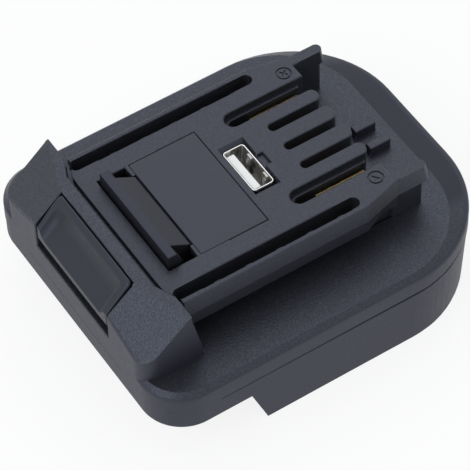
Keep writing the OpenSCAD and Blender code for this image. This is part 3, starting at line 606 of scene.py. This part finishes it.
def white_plastic(finish):
    """Socket tongue: white plastic, a little dirty in soft clouds."""
    graph = Graph("white_tongue")
    cloud = graph.noise(2.5, detail=3.0)
    return graph.close(
        Base_Color=graph.shade(graph.span(cloud, 0.2, 0.8), finish.white[:], 0.93, 1.0),
        Roughness=graph.span(cloud, 0.2, 0.8, 0.32, 0.45),
        Normal=graph.bump(cloud, 0.01),
    )


def rolled_metal(name, base, roughness, stretch):
    """Sheet or wire: streaks along the rolling direction and small stains."""
    graph = Graph(name)
    streaks = graph.noise(0.25, detail=4.0, stretch=stretch)
    stains = graph.noise(3.0, detail=3.0)
    return graph.close(
        Base_Color=graph.shade(graph.span(stains, 0.3, 0.7), base, 0.82, 1.05),
        Metallic=1.0,
        Roughness=graph.span(streaks, 0.25, 0.75, roughness - 0.07, roughness + 0.1),
        Normal=graph.bump(streaks, 0.004),
    )


def board_laminate(finish):
    """Circuit board: lighter copper tracks under green lacquer."""
    graph = Graph("board_lacquer")
    pitch, lighter = 4.0, 1.7
    inputs = {"Vector": graph.place, "Scale": 1 / (pitch * MM), "Mortar Size": 0.06, "Row Height": 0.35}
    tracks = graph.node("ShaderNodeTexBrick", inputs).outputs["Fac"]
    weave = graph.noise(0.3)
    return graph.close(
        Base_Color=graph.blend(tracks, finish.laminate[:], tuple(lighter * c for c in finish.laminate)),
        Roughness=graph.span(weave, 0.2, 0.8, 0.3, 0.45),
        Normal=graph.bump(tracks, 0.03),
    )


def sintered(finish):
    """Ferrite: dark, with fine pale specks."""
    graph = Graph("sintered_ferrite")
    specks = graph.noise(0.12, detail=3.0)
    return graph.close(
        Base_Color=graph.shade(graph.span(specks, 0.3, 0.7), finish.ferrite[:], 0.7, 1.4),
        Roughness=graph.span(specks, 0.2, 0.8, 0.55, 0.75),
        Normal=graph.bump(specks, 0.02),
    )


def capacitor_sleeve(finish):
    """Capacitors: printed sleeve with a pale stripe on one side and a bare metal top."""
    graph = Graph("capacitor_sleeve")
    pale, bare = (0.55, 0.58, 0.62), (0.75, 0.76, 0.78)
    stripe = graph.span(graph.facing("X"), 0.86, 0.88)
    top = graph.span(graph.facing("Z"), 0.7, 0.75)
    wrap = graph.blend(stripe, finish.can[:], pale)
    streaks = graph.noise(0.3, detail=3.0)
    return graph.close(
        Base_Color=graph.blend(top, wrap, bare),
        Metallic=top,
        Roughness=graph.span(streaks, 0.2, 0.8, 0.28, 0.42),
        Normal=graph.bump(streaks, 0.005),
    )


def wire_sleeve(name, base):
    """Wire insulation: soft plastic with drawn lines along it."""
    graph = Graph(name)
    lines = graph.noise(0.25, stretch=(1, 0.1, 1))
    return graph.close(
        Base_Color=graph.shade(graph.span(lines, 0.25, 0.75), base, 0.85, 1.15),
        Roughness=graph.span(lines, 0.2, 0.8, 0.42, 0.56),
        Normal=graph.bump(lines, 0.01),
    )


def material(name):
    """The finish of that name, made once."""
    made = bpy.data.materials.get(OWN + name)
    if made:
        return made
    finish = bpy.context.scene.adapter_finish
    makers = {
        "grained_platform": lambda: grained_plastic(finish),
        "upper_casing": lambda: cover_plastic(finish),
        "satin_casing": lambda: satin_plastic("satin_casing", finish, finish.satin_casing[:], finish.satin),
        "panel_plastic": lambda: satin_plastic(
            "panel_plastic", finish, finish.panel[:], roughness=0.38, ripple=0.002
        ),
        "latch_plastic": lambda: satin_plastic("latch_plastic", finish, finish.latch[:], finish.latch_satin),
        "inner_plastic": lambda: satin_plastic("inner_plastic", finish, finish.inner[:], roughness=0.5),
        "white_tongue": lambda: white_plastic(finish),
        "rolled_brass": lambda: rolled_metal(
            "rolled_brass", finish.brass[:], roughness=0.26, stretch=(1, 0.08, 1)
        ),
        "tinned_sheet": lambda: rolled_metal(
            "tinned_sheet", finish.socket[:], roughness=0.24, stretch=(1, 1, 0.08)
        ),
        "plated_steel": lambda: rolled_metal(
            "plated_steel", finish.steel[:], roughness=0.32, stretch=(1, 1, 0.3)
        ),
        "board_lacquer": lambda: board_laminate(finish),
        "sintered_ferrite": lambda: sintered(finish),
        "capacitor_sleeve": lambda: capacitor_sleeve(finish),
        "red_sleeve": lambda: wire_sleeve("red_sleeve", finish.red[:]),
        "black_sleeve": lambda: wire_sleeve("black_sleeve", finish.black[:]),
        "yellow_sleeve": lambda: wire_sleeve("yellow_sleeve", finish.yellow[:]),
    }
    return makers[name]()


# Shapes worked out as whole arrays

def rounded_outline(corners, radii, step, arc_steps=8):
    """Closed outline with round corners, as points no further apart than step.

    At each corner the arc touches both sides at r * tan(turn / 2) from the corner, and its centre lies
    on the corner's bisector. Straight runs between the arcs are split evenly.
    """
    corners = np.asarray(corners, float)
    before = np.roll(corners, 1, 0) - corners
    after = np.roll(corners, -1, 0) - corners
    before /= np.linalg.norm(before, axis=1)[:, None]
    after /= np.linalg.norm(after, axis=1)[:, None]
    half = np.arccos(np.clip((before * after).sum(1), -1, 1)) / 2
    radii = np.asarray(radii, float)
    touch = radii / np.tan(half)
    starts = corners + before * touch[:, None]
    ends = corners + after * touch[:, None]
    bisector = before + after
    bisector /= np.linalg.norm(bisector, axis=1)[:, None]
    centres = corners + bisector * (radii / np.sin(half))[:, None]
    pieces = []
    for k in range(len(corners)):
        first = math.atan2(*(starts[k] - centres[k])[::-1])
        last = math.atan2(*(ends[k] - centres[k])[::-1])
        turn = (last - first + math.pi) % (2 * math.pi) - math.pi
        a = first + turn * np.linspace(0, 1, arc_steps + 1)
        pieces.append(centres[k] + radii[k] * np.stack([np.cos(a), np.sin(a)], 1))
        run = starts[(k + 1) % len(corners)] - ends[k]
        count = max(1, int(np.linalg.norm(run) / step))
        pieces.append(ends[k] + np.linspace(0, 1, count + 1)[1:-1, None] * run)
    return np.concatenate(pieces)


def outline_normals(outline):
    """Unit normals of a closed outline that runs anticlockwise, from each point's two neighbours."""
    along = np.roll(outline, -1, 0) - np.roll(outline, 1, 0)
    normals = np.stack([along[:, 1], -along[:, 0]], 1)
    return normals / np.linalg.norm(normals, axis=1)[:, None]


def tube(path, radius, sides=12):
    """A round tube along path: rings of the radius square to the path's direction.

    The ring's first axis is level, the second is square to that and to the path.
    """
    along = np.gradient(path, axis=0)
    along /= np.linalg.norm(along, axis=1)[:, None]
    across = np.cross(along, [0.0, 0.0, 1.0])
    across /= np.linalg.norm(across, axis=1)[:, None]
    up = np.cross(across, along)
    a = np.linspace(0, 2 * np.pi, sides, endpoint=False)
    ring = np.cos(a)[None, :, None] * across[:, None, :] + np.sin(a)[None, :, None] * up[:, None, :]
    return rings(path[:, None, :] + radius * ring)


def thumb_button(shape):
    """Release button: a rounded section carried across, with its ends drawn in and a thumb dish.

    Near each end the section shrinks by R - sqrt(R^2 - d^2), which rounds the end, and towards the crest
    the half width follows an arc, which rounds the upper corners. The dish is the room of balls of radius
    ball_r that roll over part of the sloping face, so its depth at the distance q beyond that part is
    sqrt(ball_r^2 - q^2) less the height of the balls' middles, softened at the rim. It is open over the
    front edge: its points sink straight down, and the front face below them is shortened to match.
    """
    end_r, top_r, ball_r, rim_soft, step, end_rings = 0.45, 1.0, 2.6, 0.12, 0.2, 6
    corner_radii = (0.5, 0.3, 0.25, 0.2, 0.25)
    forwards = -0.05
    low, high = node_box("release_button")
    width = high[0] - low[0]
    z_brow = low[2] + shape.button_face
    y_brow = high[1] - shape.button_brow
    corners = [
        (low[1], low[2]), (high[1], low[2]), (high[1], high[2]), (y_brow, high[2]), (low[1], z_brow)
    ]
    outline = rounded_outline(corners, corner_radii, step)
    normals = outline_normals(outline)

    turn = np.linspace(0, np.pi / 2, end_rings)
    ends = width / 2 - end_r + end_r * np.sin(turn)
    middle = np.linspace(-ends[0], ends[0], int(width / step))
    x = np.concatenate([-ends[::-1], middle[1:-1], ends])
    inset = end_r * (1 - np.cos(turn))
    inset = np.concatenate([inset[::-1], np.zeros(len(middle) - 2), inset])

    section = outline[None] - inset[:, None, None] * normals[None]
    rise = np.clip(section[..., 1] - (high[2] - top_r), 0, top_r)
    narrow = (width / 2 - top_r + np.sqrt(top_r**2 - rise**2)) / (width / 2)
    points = np.concatenate([(x[:, None] * narrow)[..., None], section], -1)

    slope = np.array([y_brow - low[1], high[2] - z_brow])
    slope_l = np.linalg.norm(slope)
    slope /= slope_l
    up_slope = (section - np.array([low[1], z_brow])) @ slope
    past_x = np.maximum(np.abs(points[..., 0]) - (width / 2 - shape.dish_frame - ball_r), 0)
    past_s = np.maximum(up_slope - (slope_l - shape.dish_frame - ball_r), 0)
    q = np.hypot(past_x, past_s)
    depth = np.sqrt(np.maximum(ball_r**2 - q**2, 0)) - (ball_r - shape.dish)
    depth = (depth + np.sqrt(depth**2 + rim_soft**2)) / 2
    faces_front = normals[:, 0] < forwards
    up_front = np.clip((section[..., 1] - low[2]) / (z_brow - low[2]), 0, 1)
    points[..., 2] -= faces_front * up_front * depth / slope[0]
    return new_piece("thumb_button", [rings(points)])


def socket_shell(shape):
    """Charging socket: the sheet's rounded section carried round a rectangle, and two spring tongues.

    A tongue is a strip whose distance from the rear wall follows half a sine wave, raised to a power
    that flattens its ends.
    """
    low, high = node_box("usb_shell")
    t = shape.sheet
    corner_r, rim_share, path_step, wall_step = 0.75, 0.45, 0.6, 1.5
    size = (high - low)[:2] / 2 - t / 2
    corners = size * np.array([(-1, -1), (1, -1), (1, 1), (-1, 1)])
    path = rounded_outline(corners, [corner_r] * 4, path_step)
    normals = outline_normals(path)
    z_corners = [(-t / 2, low[2]), (t / 2, low[2]), (t / 2, high[2]), (-t / 2, high[2])]
    section = rounded_outline(z_corners, [rim_share * t] * 4, wall_step, arc_steps=4)
    flat = path[:, None, :] + section[None, :, :1] * normals[:, None, :]
    height = np.broadcast_to(section[None, :, 1:], (*flat.shape[:2], 1))
    shells = [rings(np.concatenate([flat, height], -1), closed=True)]
    tongue_x, tongue_w, tongue_top, tongue_l = 3.2, 1.7, 1.0, 5.6
    bulge, power, gap = 0.75, 1.5, 0.03
    strip_t, strip_r, strip_step = 0.25, 0.1, 0.4
    strip = rounded_outline(
        [(-tongue_w / 2, 0), (tongue_w / 2, 0), (tongue_w / 2, strip_t), (-tongue_w / 2, strip_t)],
        [strip_r] * 4, strip_step, arc_steps=3,
    )
    s = np.linspace(0, 1, 24)
    y = high[1] - t - gap - bulge * np.sin(np.pi * s) ** power
    z = high[2] - tongue_top - tongue_l * s
    for side in (-1, 1):
        across = np.broadcast_to(side * tongue_x + strip[None, :, 0], (len(s), len(strip)))
        out = y[:, None] - strip[None, :, 1]
        down = np.broadcast_to(z[:, None], out.shape)
        shells.append(rings(np.stack([across, out, down], -1)))
    return new_piece("socket_shell", shells)


def coil_springs(shape):
    """Two coil springs: a round tube along a helix that climbs evenly from the floor to the latch."""
    low, high = node_box("latch_springs")
    half_wire, steps = shape.wire / 2, 28
    x = high[0] - shape.coil_r - half_wire
    y = (low[1] + high[1]) / 2
    t = np.linspace(0, 1, steps * shape.turns + 1)
    a = 2 * np.pi * shape.turns * t
    z = low[2] + half_wire + (high[2] - low[2] - 2 * half_wire) * t
    helix = np.stack([shape.coil_r * np.cos(a), y + shape.coil_r * np.sin(a), z], 1)
    return new_piece("coil_springs", [tube(helix + [side * x, 0, 0], half_wire) for side in (-1, 1)])


def lead_path(start, finish):
    """A lead's middle line: even along Y, and half a cosine wave in X and Z."""
    steps = 48
    t = np.linspace(0, 1, steps + 1)[:, None]
    start, finish = np.asarray(start, float), np.asarray(finish, float)
    run = finish - start
    ahead = run * np.array([0.0, 1.0, 0.0])
    return start + t * ahead + (1 - np.cos(np.pi * t)) / 2 * (run - ahead)


# Operators

class PieceOperator(bpy.types.Operator):
    """One piece or group of like pieces."""

    bl_options = {"REGISTER", "UNDO"}

    def execute(self, context):
        self.build(context.scene.adapter_shape)
        return {"FINISHED"}

    def dress(self, edge, names):
        """Dressed copies: names gives each node its piece's name and its material."""
        for node, (piece, finish) in names.items():
            stand_for(dressed(node, piece, edge), material(finish), node)


class ADAPTER_OT_casings(PieceOperator):
    """Lower and upper casing with rounded edges"""

    bl_idname = "adapter.casings"
    bl_label = "Casings"

    def build(self, shape):
        self.dress(shape.edge, {
            "lower_shell": ("lower_casing", "satin_casing"),
            "upper_cover": ("upper_casing", "upper_casing"),
        })


class ADAPTER_OT_platform(PieceOperator):
    """Rail platform with its fingers and wings, and the bare panel"""

    bl_idname = "adapter.platform"
    bl_label = "Platform and panel"

    def build(self, shape):
        self.dress(shape.edge, {"rail_platform": ("platform", "grained_platform")})
        self.dress(2 * shape.fine_edge, {"label_panel": ("bare_panel", "panel_plastic")})


class ADAPTER_OT_latch(PieceOperator):
    """Release button with its thumb dish, and the hook behind it"""

    bl_idname = "adapter.latch"
    bl_label = "Button and hook"

    def build(self, shape):
        stand_for(thumb_button(shape), material("latch_plastic"), "release_button")
        self.dress(shape.edge, {"latch_hook": ("hook", "latch_plastic")})


class ADAPTER_OT_socket(PieceOperator):
    """Charging socket: shell, white tongue and contacts"""

    bl_idname = "adapter.socket"
    bl_label = "Charging socket"

    def build(self, shape):
        stand_for(socket_shell(shape), material("tinned_sheet"), "usb_shell")
        self.dress(shape.fine_edge, {"usb_insulator": ("tongue", "white_tongue")})
        self.dress(0.5 * shape.fine_edge, {"usb_contacts": ("socket_contacts", "rolled_brass")})


class ADAPTER_OT_contacts(PieceOperator):
    """Contacts for the tool and blades for the battery, with what carries them"""

    bl_idname = "adapter.contacts"
    bl_label = "Contacts and blades"

    def build(self, shape):
        self.dress(0.5 * shape.edge, {
            "contact_carrier": ("carrier", "inner_plastic"),
            "terminal_block": ("blade_holder", "inner_plastic"),
        })
        self.dress(shape.fine_edge, {
            "positive_clip": ("plus_clip", "rolled_brass"),
            "negative_clip": ("minus_clip", "rolled_brass"),
            "signal_clips": ("small_clips", "rolled_brass"),
            "positive_blade": ("plus_blade", "rolled_brass"),
            "negative_blade": ("minus_blade", "rolled_brass"),
            "signal_blades": ("small_blades", "rolled_brass"),
        })


class ADAPTER_OT_springs(PieceOperator):
    """Two coil springs under the latch"""

    bl_idname = "adapter.springs"
    bl_label = "Latch springs"

    def build(self, shape):
        piece = stand_for(coil_springs(shape), material("plated_steel"), "latch_springs")
        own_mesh(piece)


class ADAPTER_OT_board(PieceOperator):
    """Converter board and the parts on it"""

    bl_idname = "adapter.board"
    bl_label = "Circuit board"

    def build(self, shape):
        self.dress(shape.fine_edge, {
            "circuit_board": ("board", "board_lacquer"),
            "choke": ("choke_drum", "sintered_ferrite"),
            "converter_chip": ("chip", "inner_plastic"),
            "small_parts": ("board_parts", "sintered_ferrite"),
        })
        self.dress(4 * shape.fine_edge, {"capacitors": ("cans", "capacitor_sleeve")})


class ADAPTER_OT_leads(PieceOperator):
    """Leads between the contacts, the blades and the board"""

    bl_idname = "adapter.leads"
    bl_label = "Leads"

    def build(self, shape):
        # Each node's piece, finish and radius, and whether X grows on its way down
        leads = {
            "positive_lead": ("plus_lead", "red_sleeve", shape.lead_r, True),
            "negative_lead": ("minus_lead", "black_sleeve", shape.lead_r, False),
            "usb_positive_lead": ("plus_board_lead", "red_sleeve", shape.thin_r, False),
            "usb_negative_lead": ("minus_board_lead", "black_sleeve", shape.thin_r, True),
        }
        for node, (name, finish, r, x_grows) in leads.items():
            low, high = node_box(node)
            inner = np.array([r, 0, r])
            low, high = low + inner, high - inner
            first, last = (low[0], high[0]) if x_grows else (high[0], low[0])
            path = lead_path((first, low[1], high[2]), (last, high[1], low[2]))
            stand_for(new_piece(name, [tube(path, r)]), material(finish), node)
        low, high = node_box("signal_leads")
        r = shape.thin_r
        out = high[0] - r
        shells = []
        for side in (-1, 1):
            start = [side * out, low[1], high[2] - r]
            finish_at = [side * out / 2, high[1], low[2] + r]
            shells.append(tube(lead_path(start, finish_at), r))
        stand_for(new_piece("small_leads", shells), material("yellow_sleeve"), "signal_leads")


class ADAPTER_OT_screws(PieceOperator):
    """Screws of the casing, the board and the terminal block"""

    bl_idname = "adapter.screws"
    bl_label = "Screws"

    def build(self, shape):
        self.dress(1.5 * shape.fine_edge, {
            "shell_screws": ("casing_screws", "plated_steel"),
            "board_screws": ("small_board_screws", "plated_steel"),
            "block_screws": ("holder_screws", "plated_steel"),
        })


class ADAPTER_OT_stage(bpy.types.Operator):
    """Pale floor, soft light and the camera"""

    bl_idname = "adapter.stage"
    bl_label = "Stage"
    bl_options = {"REGISTER", "UNDO"}

    def execute(self, context):
        stage = context.scene.adapter_stage
        behind, in_front = (-0.53, 0.32, 0.78), (0.15, -0.75, 0.64)
        pale_floor(stage)
        white_world(context.scene, stage)
        soft_light(context.scene, "rear_light", behind, stage.rear_power)
        soft_light(context.scene, "front_light", in_front, stage.front_power)
        photo_camera(context.scene, stage)
        context.scene.view_settings.view_transform = "Standard"
        return {"FINISHED"}


# Stage

def seen_rays(tree):
    """1 for rays from the camera, from glossy and from clear surfaces, else 0."""
    path = tree.nodes.new("ShaderNodeLightPath")
    total = path.outputs["Is Camera Ray"]
    for name in ("Is Glossy Ray", "Is Transmission Ray"):
        add = tree.nodes.new("ShaderNodeMath")
        add.operation = "ADD"
        add.use_clamp = True
        tree.links.new(total, add.inputs[0])
        tree.links.new(path.outputs[name], add.inputs[1])
        total = add.outputs[0]
    return total


def coloured(tree, kind, colour):
    """A shader of that kind in one plain colour."""
    shader = tree.nodes.new(kind)
    shader.inputs["Color"].default_value = (*colour, 1.0)
    return shader


def mixed(tree, factor, first, second):
    """A mix of two shaders, by a factor from 0 to 1."""
    mix = tree.nodes.new("ShaderNodeMixShader")
    for socket, source in zip(mix.inputs, (factor, first, second)):
        tree.links.new(source, socket)
    return mix.outputs[0]


def white_world(scene, stage):
    """World: even light all round, and plain white where it is seen."""
    sky, white = (0.93, 0.96, 1.0), (1.0, 1.0, 1.0)
    world = bpy.data.worlds.new("studio")
    scene.world = world
    world.use_nodes = True
    tree = world.node_tree
    tree.nodes.clear()
    light = coloured(tree, "ShaderNodeBackground", sky)
    light.inputs["Strength"].default_value = stage.ambient
    seen = coloured(tree, "ShaderNodeBackground", white)
    out = tree.nodes.new("ShaderNodeOutputWorld")
    tree.links.new(mixed(tree, seen_rays(tree), light.outputs[0], seen.outputs[0]), out.inputs[0])


def pale_floor(stage):
    """Floor: a wide pale sheet that keeps a soft shadow, and is clear from below."""
    half, below = 1.5, -0.00005
    white, glow_share = (1.0, 1.0, 1.0), 0.85
    mesh = bpy.data.meshes.new("floor")
    corners = [(-half, -half, below), (half, -half, below), (half, half, below), (-half, half, below)]
    mesh.from_pydata(corners, [], [(0, 1, 2, 3)])
    floor = bpy.data.objects.new("floor", mesh)
    bpy.context.scene.collection.objects.link(floor)
    paint = bpy.data.materials.new("pale_floor")
    paint.use_nodes = True
    tree = paint.node_tree
    tree.nodes.clear()
    matt = coloured(tree, "ShaderNodeBsdfDiffuse", stage.floor)
    glow = coloured(tree, "ShaderNodeEmission", white)
    part = tree.nodes.new("ShaderNodeMath")
    part.operation = "MULTIPLY"
    part.inputs[1].default_value = glow_share
    tree.links.new(seen_rays(tree), part.inputs[0])
    front = mixed(tree, part.outputs[0], matt.outputs[0], glow.outputs[0])
    clear = tree.nodes.new("ShaderNodeBsdfTransparent")
    side = tree.nodes.new("ShaderNodeNewGeometry")
    out = tree.nodes.new("ShaderNodeOutputMaterial")
    tree.links.new(mixed(tree, side.outputs["Backfacing"], front, clear.outputs[0]), out.inputs[0])
    mesh.materials.append(paint)


def soft_light(scene, name, direction, power):
    """A wide soft light in that direction from the part, turned towards it."""
    away, size = 0.7, 0.5
    lamp = bpy.data.lights.new(name, "AREA")
    lamp.energy = power
    lamp.size = size
    light = bpy.data.objects.new(name, lamp)
    light.location = away * Vector(direction).normalized()
    light.rotation_euler = (-light.location).to_track_quat("-Z", "Y").to_euler()
    scene.collection.objects.link(light)


def photo_camera(scene, stage):
    """Camera at the photo's angle, placed by the socket's middle at the panel's height.

    That point lies aside and above the picture's middle.
    """
    sensor = 36.0
    a, e = stage.azimuth, stage.elevation
    back = Vector((math.sin(a) * math.cos(e), -math.cos(a) * math.cos(e), math.sin(e)))
    right = Vector((0, 0, 1)).cross(back).normalized()
    turned = Matrix.Rotation(stage.roll, 3, back)
    up = turned @ back.cross(right)
    right = turned @ right
    target = Vector((0, 0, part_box("label_panel")[1].z))
    place = target + (back * stage.distance - right * stage.aside - up * stage.above) * MM
    lens = bpy.data.cameras.new("camera")
    lens.sensor_width = sensor
    lens.lens = stage.lens
    camera = bpy.data.objects.new("camera", lens)
    columns = Matrix((right, up, back)).transposed().to_4x4()
    camera.matrix_world = Matrix.Translation(place) @ columns
    scene.collection.objects.link(camera)
    scene.camera = camera


PIECES = (
    ADAPTER_OT_casings, ADAPTER_OT_platform, ADAPTER_OT_latch, ADAPTER_OT_socket, ADAPTER_OT_contacts,
    ADAPTER_OT_springs, ADAPTER_OT_board, ADAPTER_OT_leads, ADAPTER_OT_screws, ADAPTER_OT_stage,
)


class ADAPTER_PT_panel(bpy.types.Panel):
    """Lists the operators and the sizes and colours that they use"""

    bl_idname = "ADAPTER_PT_panel"
    bl_label = "Battery adapter"
    bl_space_type = "VIEW_3D"
    bl_region_type = "UI"
    bl_category = "Adapter"

    def draw(self, context):
        column = self.layout.column(align=True)
        for operator in PIECES:
            column.operator(operator.bl_idname)
        for group_name, group in GROUPS.items():
            box = self.layout.box()
            settings = getattr(context.scene, group_name)
            for prop in group.__annotations__:
                box.prop(settings, prop)


CLASSES = (*GROUPS.values(), *PIECES, ADAPTER_PT_panel)


def register():
    for cls in CLASSES:
        bpy.utils.register_class(cls)
    for name, group in GROUPS.items():
        setattr(bpy.types.Scene, name, bpy.props.PointerProperty(type=group))


def unregister():
    for name in GROUPS:
        delattr(bpy.types.Scene, name)
    for cls in reversed(CLASSES):
        bpy.utils.unregister_class(cls)


def main():
    """Registers the classes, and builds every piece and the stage."""
    register()
    for operator in PIECES:
        group, name = operator.bl_idname.split(".")
        getattr(getattr(bpy.ops, group), name)()


if __name__ == "__main__":
    main()
